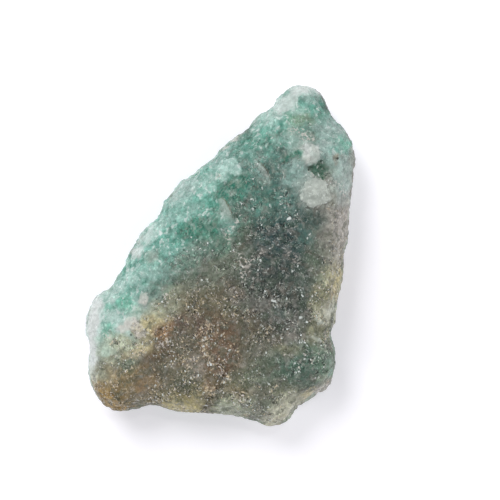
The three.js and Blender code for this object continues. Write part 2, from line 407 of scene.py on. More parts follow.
jadeFinish = {
    # colours as seen on screen, 0 to 255
    "palette": {
        "stoneGrey": (100, 104, 90),
        "slate": (62, 76, 72),
        "slateBlue": (53, 73, 73),
        "slateTeal": (70, 102, 98),
        "ash": (66, 72, 66),
        "mossGrey": (114, 122, 108),
        "seaGrey": (98, 126, 114),
        "darkMoss": (54, 62, 54),
        "mossGreen": (90, 105, 87),
        "plumDark": (88, 80, 78),
        "brown": (113, 98, 79),
        "redBrown": (112, 88, 71),
        "plumBrown": (108, 94, 84),
        "olive": (146, 130, 98),
        "darkOlive": (96, 88, 66),
        "paleOlive": (150, 150, 122),
        "warmGrey": (116, 112, 92),
        "ochre": (156, 130, 82),
        "straw": (208, 198, 156),
        "yellowGreen": (178, 168, 122),
        "paleGreen": (178, 186, 162),
        "seaMoss": (126, 152, 130),
        "mint": (118, 172, 158),
        "mintBright": (112, 184, 160),
        "mintDeep": (86, 150, 132),
        "mintGrey": (148, 182, 172),
        "mintPale": (172, 202, 193),
        "mintIce": (190, 214, 206),
        "teal": (74, 140, 122),
        "tealDeep": (44, 116, 96),
        "greyTeal": (90, 124, 116),
        "lobeGreen": (76, 106, 93),
        "frost": (160, 184, 177),
        "ice": (214, 220, 217),
        "quartz": (180, 187, 180),
        "paleQuartz": (192, 199, 191),
        "pinkish": (210, 204, 197),
        "sand": (172, 168, 160),
        "beige": (212, 212, 190),
        "rust": (140, 114, 88),
        "cream": (208, 192, 164),
        "pitGreen": (48, 98, 76),
        "hole": (40, 42, 36),
    },
    "reflectedLight": 0.008,  # what the polished grains reflect over every colour, which is taken off
    "leastLight": 0.009,
    # Clouds of colour, painted one over the other in this order: colour, middle, half sizes and cover,
    # then turn in degrees and softness of the edge where they aren't 0 and 0.6.
    "clouds": [
        # the dark middle
        ("slate", (6.2, -1.0), (4.8, 9.2), 1.0, -4, 0.5),
        ("slateBlue", (5.5, 1.2), (2.6, 3.8), 1.0, -14),
        ("slateBlue", (5.7, -1.7), (1.3, 0.9), 0.7),
        ("greyTeal", (8.7, 2.0), (1.0, 1.3), 0.55),
        ("greyTeal", (5.0, 4.8), (3.4, 1.3), 0.7, 8),
        ("frost", (6.9, 4.3), (1.2, 0.7), 0.2),
        ("ash", (5.4, -5.4), (3.2, 4.4), 0.8, 10),
        ("slate", (5.6, -6.2), (1.0, 0.8), 0.9),
        ("mossGrey", (8.6, -3.4), (1.2, 2.4), 0.2),
        ("sand", (3.9, -4.9), (1.5, 0.7), 0.35, -25),
        ("sand", (7.6, -6.9), (1.2, 0.9), 0.35),
        ("sand", (7.6, -8.7), (0.9, 0.7), 0.3),
        ("plumDark", (3.6, -10.2), (1.2, 1.4), 0.8),
        ("mossGreen", (2.6, 2.6), (0.9, 1.2), 0.5),
        # the wide fields
        ("brown", (-3.2, -10.0), (8.6, 4.6), 0.95, 0, 0.5),
        ("mossGrey", (-0.4, -0.6), (3.4, 3.0), 0.9, 30),
        ("mossGreen", (1.5, 0.2), (1.6, 1.6), 0.3),
        ("plumBrown", (1.2, -3.8), (1.4, 1.2), 0.7),
        ("darkOlive", (-0.2, -5.4), (2.2, 1.1), 0.35),
        ("stoneGrey", (0.2, -4.4), (1.5, 1.2), 0.4),
        ("mossGrey", (5.0, -12.0), (3.0, 3.4), 0.6, 10),
        ("mint", (-5.8, 2.8), (11.8, 3.7), 1.0, 50, 0.35),
        ("mintPale", (-11.0, -6.3), (3.4, 4.2), 1.0),
        ("greyTeal", (4.8, 8.0), (4.6, 4.2), 1.0, 30, 0.5),
        ("mint", (8.4, 15.0), (4.4, 3.2), 0.8, -40, 0.4),
        ("frost", (11.5, 12.0), (3.2, 2.1), 0.95, -60, 0.5),
        ("sand", (13.9, 4.6), (2.5, 5.6), 1.0, -4, 0.5),
        ("paleOlive", (12.7, -2.4), (2.6, 4.4), 0.75, -3),
        ("sand", (11.5, 2.2), (1.5, 3.2), 0.6),
        ("pinkish", (14.0, 2.8), (2.0, 6.2), 0.5, -3),
        ("lobeGreen", (8.8, -11.4), (2.6, 2.2), 0.85, 10),
        # where the green sinks into the grey
        ("seaGrey", (-3.4, -0.6), (3.2, 1.2), 0.85, 30),
        ("seaGrey", (1.7, 4.9), (2.6, 1.8), 0.9, 60),
        ("seaGrey", (-6.6, -3.7), (1.6, 0.9), 0.85, 30),
        ("mintDeep", (0.3, 1.9), (2.0, 1.4), 0.4, 50),
        ("mintGrey", (0.6, 3.0), (1.0, 0.8), 0.7),
        ("seaGrey", (-2.9, -1.5), (1.3, 0.9), 0.25),
        ("paleGreen", (-4.6, -3.7), (1.6, 0.7), 0.35),
        # left edge and bay
        ("mint", (-10.3, -3.9), (2.2, 1.6), 0.8, 30, 0.5),
        ("mintBright", (-9.5, -4.8), (1.1, 0.8), 0.7, 30),
        ("teal", (-10.7, -3.3), (0.9, 0.25), 0.7, 20),
        ("mintBright", (-11.8, -5.4), (0.7, 0.4), 0.5, 20),
        ("mintIce", (-11.3, -6.4), (1.2, 0.8), 0.7, 20),  # frost of the left corner
        ("mintIce", (-11.3, -4.2), (1.0, 0.6), 0.9),
        ("mintIce", (-10.4, -3.1), (0.8, 0.5), 0.7, 30),
        ("mintBright", (-11.6, -7.5), (0.6, 0.7), 0.65, -30),
        ("teal", (-11.1, -8.2), (0.3, 0.35), 0.6),
        ("paleGreen", (-10.0, -8.5), (1.1, 0.4), 0.3, -10),
        ("paleGreen", (-11.4, -9.9), (1.5, 1.4), 0.8, 0, 0.9),
        ("mintPale", (-11.4, -9.8), (0.8, 0.8), 0.4, 0, 0.5),
        # the white left rim, here and two rows below: pale stone with a painted glow of light through the
        # thin edge
        ("ice", (-14.2, -7.3), (2.05, 4.4), 1.0, -4, 0.2),  # the white left rim
        ("mintIce", (-12.0, -3.4), (2.4, 0.5), 0.2, 43, 0.4),
        ("ice", (-14.4, -11.4), (1.6, 3.2), 1.0, 0, 0.4),
        ("paleGreen", (-9.8, -9.3), (1.6, 0.9), 1.0, -10),
        ("pinkish", (-9.1, -7.2), (1.4, 0.75), 0.5, 20, 0.5),
        ("ice", (-7.8, -4.6), (0.9, 0.6), 0.25),
        ("ice", (-9.3, 0.3), (1.2, 0.8), 0.85, 30, 0.4),  # the white bay
        ("mintPale", (-7.4, 2.6), (1.9, 1.1), 0.9, 52, 0.5),
        ("ice", (-7.9, 1.9), (1.0, 0.7), 0.45, 30),
        ("mintPale", (-5.6, 3.4), (1.8, 0.8), 0.4, 50),
        ("teal", (-8.9, -1.1), (1.1, 0.35), 0.5, 25),
        ("sand", (-7.1, -0.2), (1.0, 0.6), 0.5),
        ("mintPale", (-8.6, -2.0), (1.3, 0.7), 0.8, 30),
        ("mintGrey", (-8.1, -3.5), (1.1, 0.7), 0.5, 30),
        ("mintGrey", (-6.3, -1.6), (1.2, 0.8), 0.7, 30),
        ("greyTeal", (-6.4, -3.7), (1.0, 0.6), 0.4, 10),
        # middle of the mint band
        ("tealDeep", (-2.3, 2.7), (2.4, 1.1), 0.9, 14),  # the deepest green
        ("teal", (-4.2, 2.0), (1.6, 0.9), 0.3),
        ("teal", (-1.0, 4.8), (1.9, 0.9), 0.6, 10),
        ("mintGrey", (-3.6, 4.6), (1.4, 0.9), 0.5, 10),
        ("teal", (0.0, 6.0), (1.2, 0.5), 0.85, 10),
        ("teal", (1.3, 6.9), (1.9, 1.4), 1.0),
        ("frost", (-3.5, 7.0), (2.2, 1.0), 0.85, 52),  # the frosted edge
        ("mintPale", (-1.3, 7.5), (1.4, 0.8), 0.62, 10),
        ("ice", (-4.6, 6.2), (1.4, 0.5), 0.35, 50),
        ("teal", (-1.7, 8.8), (1.2, 0.25), 0.8, 12),
        ("tealDeep", (1.2, 7.1), (1.7, 1.5), 0.7),
        ("greyTeal", (3.1, 6.0), (1.2, 1.0), 0.5),
        ("teal", (-0.8, 3.6), (1.3, 1.2), 0.2),
        ("mintPale", (0.7, 4.0), (0.8, 1.0), 0.2),
        ("frost", (0.2, 10.4), (1.7, 0.5), 0.5, 42),
        ("mintPale", (0.4, 8.5), (1.2, 0.9), 0.7, 0, 0.5),
        # upper part and tip
        ("teal", (4.6, 11.6), (2.9, 1.2), 0.75, 10),
        ("greyTeal", (5.2, 10.0), (1.6, 0.9), 0.35),
        ("teal", (4.0, 10.2), (2.4, 1.5), 0.25, 10),
        ("teal", (4.6, 5.6), (1.2, 1.6), 0.35),
        ("mintGrey", (3.3, 10.2), (1.8, 1.0), 0.15, 10),
        ("mint", (2.2, 10.8), (1.3, 0.9), 0.4, 20),
        ("mint", (5.4, 13.3), (2.2, 0.8), 0.9, 24),
        ("mintPale", (5.1, 14.4), (1.9, 0.8), 0.9, 42, 0.5),
        ("seaMoss", (8.3, 14.0), (1.5, 0.8), 0.9),
        ("mint", (9.1, 15.5), (1.3, 0.8), 0.5),
        ("mintPale", (7.6, 14.9), (0.8, 0.6), 0.5),
        ("teal", (10.5, 14.8), (0.9, 1.4), 0.55, 35, 0.5),
        ("ice", (6.9, 15.8), (2.1, 0.8), 0.65, 48, 0.4),
        ("ice", (8.9, 17.9), (2.0, 1.3), 0.85, -8, 0.5),  # the pale tip
        ("frost", (9.8, 16.6), (0.8, 0.8), 0.85, -50, 0.5),
        ("quartz", (8.9, 10.4), (1.8, 1.2), 0.65, -40),  # round the upper quartz
        ("ice", (9.6, 10.3), (1.1, 0.9), 0.7, -40),
        ("frost", (10.9, 10.3), (1.1, 0.8), 0.6),
        ("frost", (10.6, 10.1), (0.9, 0.5), 0.9),
        ("pinkish", (7.5, 12.5), (0.9, 0.6), 0.25, -30),
        ("mintGrey", (6.9, 11.6), (1.2, 0.8), 0.5),
        ("seaGrey", (9.4, 12.2), (1.0, 0.8), 0.8),
        ("frost", (7.7, 8.0), (1.5, 1.2), 0.65, 30, 0.5),
        ("tealDeep", (7.4, 10.1), (1.0, 0.4), 1.0, 25, 0.5),
        ("mintDeep", (10.3, 8.8), (1.2, 0.8), 0.3),  # in the pit
        ("quartz", (9.6, 6.5), (1.8, 1.7), 0.6, 30),  # round the round quartz
        ("mintBright", (12.9, 11.3), (0.7, 0.9), 0.85, 20, 0.5),  # the green rim spot
        ("mint", (12.1, 10.6), (0.9, 0.4), 0.7, -20),
        ("rust", (12.1, 9.9), (0.4, 0.25), 0.8, 30),
        ("frost", (12.6, 7.8), (1.1, 2.4), 0.75),
        # right side and lobe
        ("mossGrey", (11.6, 5.2), (0.35, 0.9), 0.4),
        ("slateTeal", (9.6, 3.4), (1.2, 1.0), 0.4),
        ("mossGrey", (10.3, -0.8), (1.5, 2.6), 0.45),
        ("mossGreen", (9.4, -0.8), (0.8, 1.2), 0.55),
        ("paleGreen", (10.6, -2.4), (1.0, 0.7), 0.4, 45),
        ("straw", (12.9, -2.9), (1.8, 1.7), 1.0, 0, 0.5),  # the straw stain
        ("ochre", (11.8, -4.3), (0.7, 0.5), 0.45),
        ("paleOlive", (10.0, -4.6), (0.9, 1.4), 0.9),
        ("beige", (12.0, -6.2), (2.0, 1.4), 1.0, 0, 0.5),  # beside the shelf
        ("ice", (11.7, -6.0), (0.9, 0.7), 0.3),
        ("paleOlive", (10.2, -7.8), (1.4, 1.4), 0.55),
        ("beige", (10.3, -6.9), (0.8, 0.35), 0.4, -10, 0.5),
        ("beige", (10.0, -8.7), (0.6, 0.3), 0.2, -20, 0.5),
        ("mossGrey", (6.7, -10.0), (1.2, 1.0), 0.15),
        ("mossGreen", (4.4, -11.4), (1.5, 1.2), 0.5, 20),
        ("darkMoss", (5.7, -13.0), (1.1, 0.9), 0.42),
        ("paleOlive", (6.2, -13.9), (1.7, 0.9), 0.35),
        ("seaMoss", (12.6, -11.2), (2.3, 2.4), 0.85, 0, 0.8),  # edge of the lobe
        ("mintPale", (12.4, -11.4), (0.9, 1.0), 0.55, 0, 0.7),
        ("pinkish", (11.2, -14.6), (2.2, 1.3), 0.85, 30, 0.5),
        ("paleGreen", (10.7, -12.9), (0.9, 0.6), 0.45, -20),
        ("straw", (9.2, -14.4), (1.0, 0.4), 0.8, 20),
        ("paleOlive", (7.0, -9.6), (1.4, 0.6), 0.5),
        # lower edge and corner
        ("beige", (6.6, -16.9), (2.8, 1.7), 0.95, 48, 0.5),  # the toe
        ("olive", (1.9, -13.6), (1.6, 1.2), 0.5),
        ("paleGreen", (0.2, -16.8), (2.6, 2.3), 0.7, 0, 0.5),
        ("paleGreen", (3.0, -14.9), (0.9, 0.8), 0.3, -30),
        ("yellowGreen", (-4.0, -16.2), (2.8, 2.0), 1.0, -8, 0.5),  # the foot
        ("yellowGreen", (-2.3, -13.7), (1.1, 0.8), 0.35),
        ("olive", (-7.0, -15.3), (1.2, 0.8), 0.5),
        ("darkOlive", (-1.2, -15.3), (0.5, 1.4), 0.9, -20, 0.5),
        ("olive", (-9.9, -13.0), (2.8, 2.1), 1.0),
        ("ochre", (-11.9, -15.5), (3.0, 1.8), 1.0, -40, 0.5),  # the lower left corner
        ("ochre", (-10.2, -15.8), (1.6, 0.5), 0.5),
        ("paleGreen", (-12.9, -12.4), (1.5, 1.0), 0.5),
        ("rust", (-8.1, -13.6), (0.8, 0.5), 0.4),
        ("rust", (-7.2, -12.8), (1.4, 1.4), 0.35),
        ("mossGreen", (-9.5, -11.0), (1.1, 0.7), 0.8),
        # brown part
        ("plumBrown", (-3.0, -7.2), (2.0, 1.3), 0.8),
        ("redBrown", (0.0, -9.6), (1.8, 3.0), 0.55),  # the rusty middle
        ("warmGrey", (-4.2, -12.8), (2.0, 1.8), 0.7),
        ("stoneGrey", (-5.8, -11.6), (1.3, 0.9), 0.4, 20),
        ("mossGrey", (-3.5, -9.0), (1.3, 1.4), 0.3, 20),
        ("mossGreen", (2.4, -12.8), (1.5, 0.9), 0.6),
        ("mossGreen", (-3.4, -13.0), (1.4, 0.9), 0.3),
        ("rust", (-0.9, -13.3), (0.7, 0.45), 0.6),
        ("sand", (-2.4, -11.4), (0.7, 1.3), 0.35, 10),
        ("olive", (-2.0, -4.6), (2.6, 1.1), 0.3, 10),
        ("paleGreen", (-5.6, -5.4), (1.6, 0.9), 0.55, 10),
        ("paleGreen", (-7.7, -6.0), (1.8, 0.8), 0.25),
        ("straw", (-6.9, -7.3), (1.6, 1.0), 1.0, 20),  # beside the pink patch
        ("rust", (-5.6, -7.7), (1.1, 0.7), 1.0, 25),
        ("olive", (-9.0, -9.9), (1.2, 0.5), 0.5, 10),
        ("straw", (-7.8, -9.3), (1.0, 0.6), 0.55, 30),
    ],
    # how the clouds' edges wander: size, reach and seed of each swing, in wide clouds and in the others
    "cloudEdges": {
        "wide": [(3.4, 1.1, 11.0), (0.9, 0.4, 23.0)],
        "near": [(1.3, 0.5, 31.0), (0.45, 0.27, 7.0)],
        "wideFrom": 2.0,  # the smallest half size of a wide cloud
        "nearFade": (1.6, 3.2),  # heights between which the small clouds set in
        "steep": (0.55, 0.2),  # how upright a side is where the steep drift sets in
        "steepDrift": [(2.6, 2.4, 61.0), (1.1, 1.1, 67.0), (0.4, 0.35, 71.0)],
        "grainPull": 0.5,  # how strongly an edge follows the grains
        "underDrift": 4.0,  # below this height the colours drift sideways, so that the underside differs
        "drift": (0.5, -0.35),
        "side": (0.45, 0.1),  # how upright a side is where the side hues set in
        # other hues on the lower half and on the sides: area, noise size, colour, start and end in the
        # noise, cover
        "otherHues": [
            ("under", 6.5, "mint", (0.02, 0.34), 0.6),
            ("under", 6.5, "brown", (-0.06, -0.34), 0.55),
            ("side", 2.2, "seaMoss", (0.02, 0.3), 0.6),
            ("side", 1.4, "mossGreen", (-0.04, -0.34), 0.6),
        ],
    },
    "seedWay": (1.0, 1.7, 0.6),  # the way that a seed moves a place in a noise
    # how a colour is read: the lightness where it is dark and where it is grainy, its green over its red and
    # its red over its blue, and how much a warm colour counts as dark
    "tones": {
        "dark": (0.34, 0.14),
        "grainy": (0.66, 0.42, 0.2, 1.0),
        "green": (0.05, 0.18),
        "warm": (0.01, 0.06),
        "warmDark": 0.6,
    },
    # swings of lightness: size, reach and seed, and the reach and seed of the place's own wander
    "mottles": [(1.6, 0.15, 3.0, None), (0.55, 0.16, 5.0, (0.2, 15.0))],
    "mottleSpan": (0.3, 0.7),  # the part of the noise that a swing takes
    # where the hue drifts: colour, the tone that it works on, start and end in the noise, cover
    "drifts": [
        ("mintPale", "green", (0.52, 0.66), 0.35),
        ("teal", "green", (0.48, 0.34), 0.36),
        ("rust", "warm", (0.54, 0.68), 0.22),
        ("mossGreen", "warm", (0.47, 0.36), 0.55),
        ("mossGreen", "dark", (0.5, 0.62), 0.3),
        ("plumBrown", "dark", (0.48, 0.36), 0.3),
    ],
    "driftPlace": {"size": 0.9, "reach": 0.4, "seed": 43.0, "noiseSeed": 51.0},
    # each fine grain's own lightness: size, wander, swing in pale stone and in dark stone
    "fineGrains": {"size": 0.15, "wander": (0.15, 0.06, 5.0), "swings": (0.1, 0.44)},
    # clumps of grains: size, seed, start and end in the noise, least and most
    "clumps": [(1.5, 27.0, (0.38, 0.6), (0.3, 1.15)), (0.5, 36.0, (0.38, 0.6), (0.25, 1.35))],
    # smooth windows and gritty heaps on the top side: middle, half sizes, and the change in grit
    "gritPlaces": [
        ((9.7, 2.4), (2.0, 2.4), -0.5),
        ((5.9, -0.1), (1.9, 1.7), -0.45),
        ((9.0, -2.6), (1.4, 1.4), -0.4),
        ((11.2, -6.2), (1.1, 0.9), -0.5),
        ((-7.1, -7.5), (1.0, 0.6), -0.4),
        ((-1.0, -1.2), (0.9, 0.9), -0.35),
        ((-3.2, -3.3), (0.9, 0.8), -0.35),
        ((-0.8, -5.0), (1.2, 1.2), -0.35),
        ((0.9, -8.2), (1.0, 1.6), -0.45),
        ((-7.4, -11.7), (1.8, 1.4), -0.5),
        ((-8.6, -14.0), (2.4, 1.2), -0.6),
        ((3.0, -13.0), (1.2, 0.9), -0.4),
        ((7.2, -13.0), (1.3, 0.9), -0.3),
        ((1.0, 7.0), (1.3, 1.0), -0.5),
        ((-5.4, -9.0), (1.4, 1.0), 0.4),
        ((-1.4, -8.0), (0.8, 1.8), 0.4),
        ((-3.4, -11.2), (1.6, 1.3), 0.4),
        ((1.8, -11.4), (1.3, 1.2), 0.4),
        ((2.2, -4.2), (1.9, 1.4), 0.35),
        ((1.0, -1.4), (1.0, 1.0), 0.4),
        ((3.4, 3.4), (1.3, 1.1), 0.8),
        ((7.0, 5.0), (1.2, 0.9), 0.5),
        ((10.9, -9.8), (1.3, 2.4), 0.6),
        ((-4.8, -12.9), (1.3, 0.9), 0.5),
        ((-5.8, -14.9), (2.0, 0.9), 0.9),
        ((4.6, -14.6), (1.8, 1.3), 1.0),
        ((8.8, -9.0), (1.0, 0.9), 0.4),
        ((-1.1, -13.0), (1.2, 0.9), 0.8),
        ((5.2, -8.0), (1.5, 1.8), 0.7),
        ((5.6, -6.1), (0.9, 0.7), -0.45),
        ((5.0, -4.4), (1.8, 1.6), 0.4),
    ],
    # how the long grains lie: size, reach and seed of the swirl, and the stretch
    "swirl": {"wander": (1.6, 0.5, 2.0), "stretch": (1.0, 0.8, 0.9)},
    # scratches: how thin they are, how far off the seed of their breaks is, and where they break
    "scratch": {"thinness": 4.0, "seedStep": 50, "breaks": (0.5, 0.6)},
    "cellWander": 0.4,  # how far a cell's edge wanders, as a share of the cell
    "fleckSeeds": {"first": 3.0, "step": 5, "cellStep": 9.0},
    "greenCalm": 0.65,  # how much quieter the clumps are in green stone
    # grains of another colour: a colour, or a number that lightens or darkens the stone's own, then size,
    # shape, start and end in the noise, where they lie, and their cover in pale and in dark stone
    "flecks": [
        ("darkMoss", 1.0, "ragged", (0.5, 0.66), "all", (0.0, 0.3)),
        ("sand", 0.8, "ragged", (0.53, 0.7), "all", (0.0, 0.24)),
        (1.8, 0.34, "cells", (0.72, 1.0), "clumps", (0.22, 0.4)),
        (0.5, 0.3, "cells", (0.66, 1.0), "clumps", (0.2, 0.46)),
        ("sand", 0.3, "ragged", (0.55, 0.7), "grey", (0.06, 0.45)),
        (0.5, 0.3, "ragged", (0.55, 0.7), "all", (0.05, 0.45)),
        (2.0, 0.5, "scratch", (0.86, 0.98), "clumps", (0.1, 0.45)),
        (2.6, 0.15, "ragged", (0.56, 0.69), "clumps", (0.35, 0.66)),
        ("quartz", 0.14, "ragged", (0.57, 0.69), "grey", (0.2, 0.7)),
        (0.3, 0.13, "cells", (0.6, 0.95), "clumps", (0.28, 0.72)),
        ("ice", 0.45, "ragged", (0.56, 0.68), "green", (0.55, 0.25)),
        ("tealDeep", 0.42, "ragged", (0.55, 0.69), "green", (0.36, 0.35)),
        (0.72, 0.16, "ragged", (0.56, 0.68), "green", (0.6, 0.4)),
        (1.5, 0.15, "ragged", (0.58, 0.69), "green", (0.9, 0.4)),
        (0.42, 0.16, "ragged", (0.57, 0.68), "warm", (0.6, 0.65)),
        ("pinkish", 0.18, "ragged", (0.59, 0.69), "warm", (0.6, 0.95)),
        ("cream", 0.2, "ragged", (0.59, 0.69), "warm", (0.6, 0.9)),
        # sparse near-white grains in the gritty clumps: painted sparkle
        ("ice", 0.14, "cells", (0.965, 0.99), "clumps", (0.5, 0.9)),
    ],
    # where a stored mark sets in, and between which shares where that isn't from none to full
    "marks": {
        # the painted glow on thin edges
        "paintedEdgeGlow": (0.15, 0.7, 0.0, 0.62),
        "grain": (-0.2, 0.9, 0.86, 1.07),
        "lipHigh": (0.15, 0.9, 0.0, 0.52),
        "lipLine": (0.3, 0.9, 0.0, 0.4),
        "glint": (-0.04, 0.05, 0.0, 0.9),
        "hole": (-0.05, 0.05, 0.0, 0.85),
    },
    "patchEdge": (-0.1, 0.14),
    "chainEdge": (-0.35, 0.15),
    # noises that cloud, wear or break the marks: size, reach and seed of their wander, then size, seed and
    # detail, then start and end in the noise and the shares there
    "wear": {
        "patchCloud": (None, (0.7, 17.0, 3.0), (0.3, 0.7, 0.86, 1.1)),
        "patchWorn": (None, (0.9, 37.0, 3.0), (0.36, 0.6, 0.62, 1.0)),
        "chainBroken": ((0.3, 0.15, 19.0), (0.26, 21.0, 3.0), (0.5, 0.6)),
        "glowBroken": ((0.8, 0.4, 13.0), (1.1, 15.0, 3.0), (0.36, 0.6, 0.3, 1.0)),
    },
    # patches: mesh mask, colour, cover
    "patchCovers": [
        ("quartz", "paleQuartz", 0.72),
        ("mintFlake", "mintPale", 0.72),
        ("pit", "pitGreen", 0.84),
        ("pinkPatch", "pinkish", 0.6),
    ],
    # broken chains of grains: mesh mask, colour, cover
    "chainCovers": [("grit", "pinkish", 0.7), ("warmGrit", "cream", 0.7)],
    "roughness": (0.14, 0.5),  # of the smoothest and the roughest grain faces
    "ior": 1.54,
    "specular": 0.3,
    "translucence": 0.2,
    "glow": {"radius": (1.0, 1.0, 0.9), "depth": 0.3},  # how far light runs in the stone, by colour
    "bump": {"size": 0.14, "strength": 0.5, "depth": 0.05},  # between the points of the mesh
    # smooth and gritty stone, and how far the fine grains' faces lean there, which gives the sparkle
    "grainLean": (0.1, 1.0, 0.12, 0.38),
}


def fromScreen(name):
    # linear light, less what the polished grains reflect over every colour
    share = [v / 255 for v in jadeFinish["palette"][name]]
    light = [v / 12.92 if v <= 0.04045 else ((v + 0.055) / 1.055) ** 2.4 for v in share]
    return (*[max(v - jadeFinish["reflectedLight"], jadeFinish["leastLight"]) for v in light], 1)


def wandering(points, size, reach, seed):
    # a ragged shift for every point, so that edges painted there wander
    places = points / size + seed
    return reach * np.array([noise.noise_vector(Vector(p)) for p in places])


def inCloud(place, middle, half, turn=0, soft=0.6):
    # 1 in the middle of a cloud, 0 outside it
    angle = math.radians(turn)
    across = (place[:, :2] - middle) @ (math.cos(angle), math.sin(angle)) / half[0]
    along = (place[:, :2] - middle) @ (-math.sin(angle), math.cos(angle)) / half[1]
    return smoothStep(1 + soft, 1 - soft, np.hypot(across, along))


def paintClouds(mesh, points, normals, middles):
    # stores the body colour and the change in grit of every point, from the clouds laid over each other
    edges = jadeFinish["cloudEdges"]
    pulled = points + edges["grainPull"] * (middles - points)
    steep = smoothStep(*edges["steep"], normals[:, 2])[:, None]
    for spec in edges["steepDrift"]:
        pulled = pulled + steep * wandering(points, *spec)
    pulled[:, :2] += np.clip(edges["underDrift"] - pulled[:, 2:], 0, None) * edges["drift"]
    wide = pulled + sum(wandering(points, *spec) for spec in edges["wide"])
    near = pulled + sum(wandering(points, *spec) for spec in edges["near"])
    setIn = smoothStep(*edges["nearFade"], near[:, 2])
    colour = np.tile(fromScreen("stoneGrey"), (len(points), 1))
    for paint, middle, half, cover, *turnAndSoft in jadeFinish["clouds"]:
        isWide = min(half) > edges["wideFrom"]
        mask = cover * inCloud(wide if isWide else near, middle, half, *turnAndSoft)
        if not isWide:
            mask *= setIn
        colour += mask[:, None] * (np.array(fromScreen(paint)) - colour)
    areas = {"under": 1 - setIn, "side": smoothStep(*edges["side"], normals[:, 2])}
    for area, size, paint, ends, cover in edges["otherHues"]:
        mask = cover * areas[area] * smoothStep(*ends, swells(near, size, 1.0))
        colour += mask[:, None] * (np.array(fromScreen(paint)) - colour)
    body = mesh.attributes.new("bodyColour", "FLOAT_COLOR", "POINT")
    body.data.foreach_set("color", colour.astype(np.float32).ravel())
    gritChange = np.zeros(len(points))
    for middle, half, change in jadeFinish["gritPlaces"]:
        gritChange += change * inCloud(near, middle, half)
    storeMask(mesh, "gritChange", setIn * gritChange)


def raisePatches(mesh, height, top, flat, pulled):
    # adds the patches to the height, and stores the distance to the edge of each group's nearest patch
    for group, members in chipShape["patches"].items():
        nearest = np.full(len(top), farOut)
        for patch in members.values():
            distance = np.where(top, patchDistance(flat, patch), farOut)
            height += patch["rise"] * smoothStep(*chipShape["patchStep"], distance)
            nearest = np.maximum(nearest, distance)
        if group == "quartz":
            under = chipShape["underPatches"]
            swell = swells(pulled, under["size"], 1.0)
            distance = np.where(top, farOut, under["slope"] * (swell - under["free"]))
            height += under["rise"] * smoothStep(*chipShape["patchStep"], distance)
            nearest = np.maximum(nearest, np.minimum(distance, under["faint"]))
        storeMask(mesh, group, nearest)


def raiseLips(mesh, height, top, place):
    # adds the flake ends to the height, and stores their high sides and lines
    lipHigh = np.zeros(len(top))
    lipLine = np.zeros(len(top))
    for lip in chipShape["lips"].values():
        high, line = lipShape(place, lip)
        height += np.where(top, abs(lip["rise"]) * high, 0)
        lipHigh = np.maximum(lipHigh, np.where(top, high, 0))
        lipLine = np.maximum(lipLine, np.where(top, line, 0))
    storeMask(mesh, "lipHigh", lipHigh)
    storeMask(mesh, "lipLine", lipLine)


def roughen(stone):
    # moves every point out or in along its normal, and stores what the finish needs
    mesh = stone.data
    points = readPoints(mesh, "co")
    normals = readPoints(mesh, "normal")
    # painted glow of light through the stone: thin edges are paled, most of all those that face one way
    paintedEdgeGlow = np.exp(-verticalChord(mesh, points, normals) / chipShape["chordFade"])
    facing = normals[:, :2] @ chipShape["glowSide"]
    others = chipShape["glowShare"]
    edgeGlowByFacing = others + (1 - others) * smoothStep(*chipShape["glowTurn"], facing)
    storeMask(mesh, "paintedEdgeGlow", paintedEdgeGlow * edgeGlowByFacing)
    grain, middles = quartzGrains(points, chipShape["grains"])
    height = grain + flakeSteps(points, chipShape["flakes"]) - chipShape["sink"]
    for size, reach in chipShape["swells"]:
        height += swells(points, size, reach)
    top = normals[:, 2] > chipShape["topFrom"]
    pulled = points + chipShape["grainPull"] * (middles - points)
    flat = (pulled + wandering(points, *chipShape["patchWander"]))[:, :2]
    raisePatches(mesh, height, top, flat, pulled)
    raiseLips(mesh, height, top, points[:, :2])
    # where the painted glints lie
    storeMask(mesh, "glint", np.where(top, spotDistance(flat, chipShape["glints"]), farOut))
    hole = np.where(top, spotDistance(points[:, :2], chipShape["holes"]), farOut)
    height -= chipShape["holeDepth"] * smoothStep(*chipShape["patchStep"], hole)
    storeMask(mesh, "hole", hole)
    paintClouds(mesh, points, normals, middles)
    # painted shade of the relief: the finish darkens the joints and the low grains by this, and lightens the
    # high ones
    storeMask(mesh, "grain", 0.5 + grain / (2 * chipShape["grains"]["uneven"]))  # a share, low in a joint
    onRest = (points[:, 2] < chipShape["pointGap"]) & (normals[:, 2] < chipShape["restFrom"])
    height = np.where(onRest, np.minimum(height, 0) * chipShape["restSinkShare"], height)
    points += normals * height[:, None]
    points = np.clip(points * mm, cadLow, cadHigh)
    mesh.vertices.foreach_set("co", points.astype(np.float32).ravel())
    mesh.update()
    mesh.polygons.foreach_set("use_smooth", [True] * len(mesh.polygons))


noise.seed_set(chipShape["seed"])  # the wandering takes its offsets from this seed
stone = fineMesh()
print("fine surface:", len(stone.data.vertices), "points")
roughen(stone)
print("grains, flakes, patches and lips made")

jade = bpy.data.materials.new("jade")
jade.use_nodes = True
tree = jade.node_tree
shader = tree.nodes["Principled BSDF"]
noiseMiddle = (0.5, 0.5, 0.5)  # the middle of a noise's three shares


def wire(source, target):
    # a socket is linked, and anything else becomes the socket's own value
    if isinstance(source, bpy.types.NodeSocket):
        tree.links.new(source, target)
    else:
        target.default_value = source


def addNode(kind, sources, **settings):
    # a node with its settings, and a link or a value for each socket that is given; its outputs come back
    node = tree.nodes.new("ShaderNode" + kind)
    for name, value in settings.items():
        setattr(node, name, value)
    for socket, source in sources.items():
        wire(source, node.inputs[socket])
    return node.outputs


def calculate(operation, a, b=0.0):
    return addNode("Math", {0: a, 1: b}, operation=operation)["Value"]


def vectors(operation, a, b=(0, 0, 0)):
    return addNode("VectorMath", {0: a, 1: b}, operation=operation)["Vector"]


def scaled(vector, factor):
    return addNode("VectorMath", {0: vector, "Scale": factor}, operation="SCALE")["Vector"]


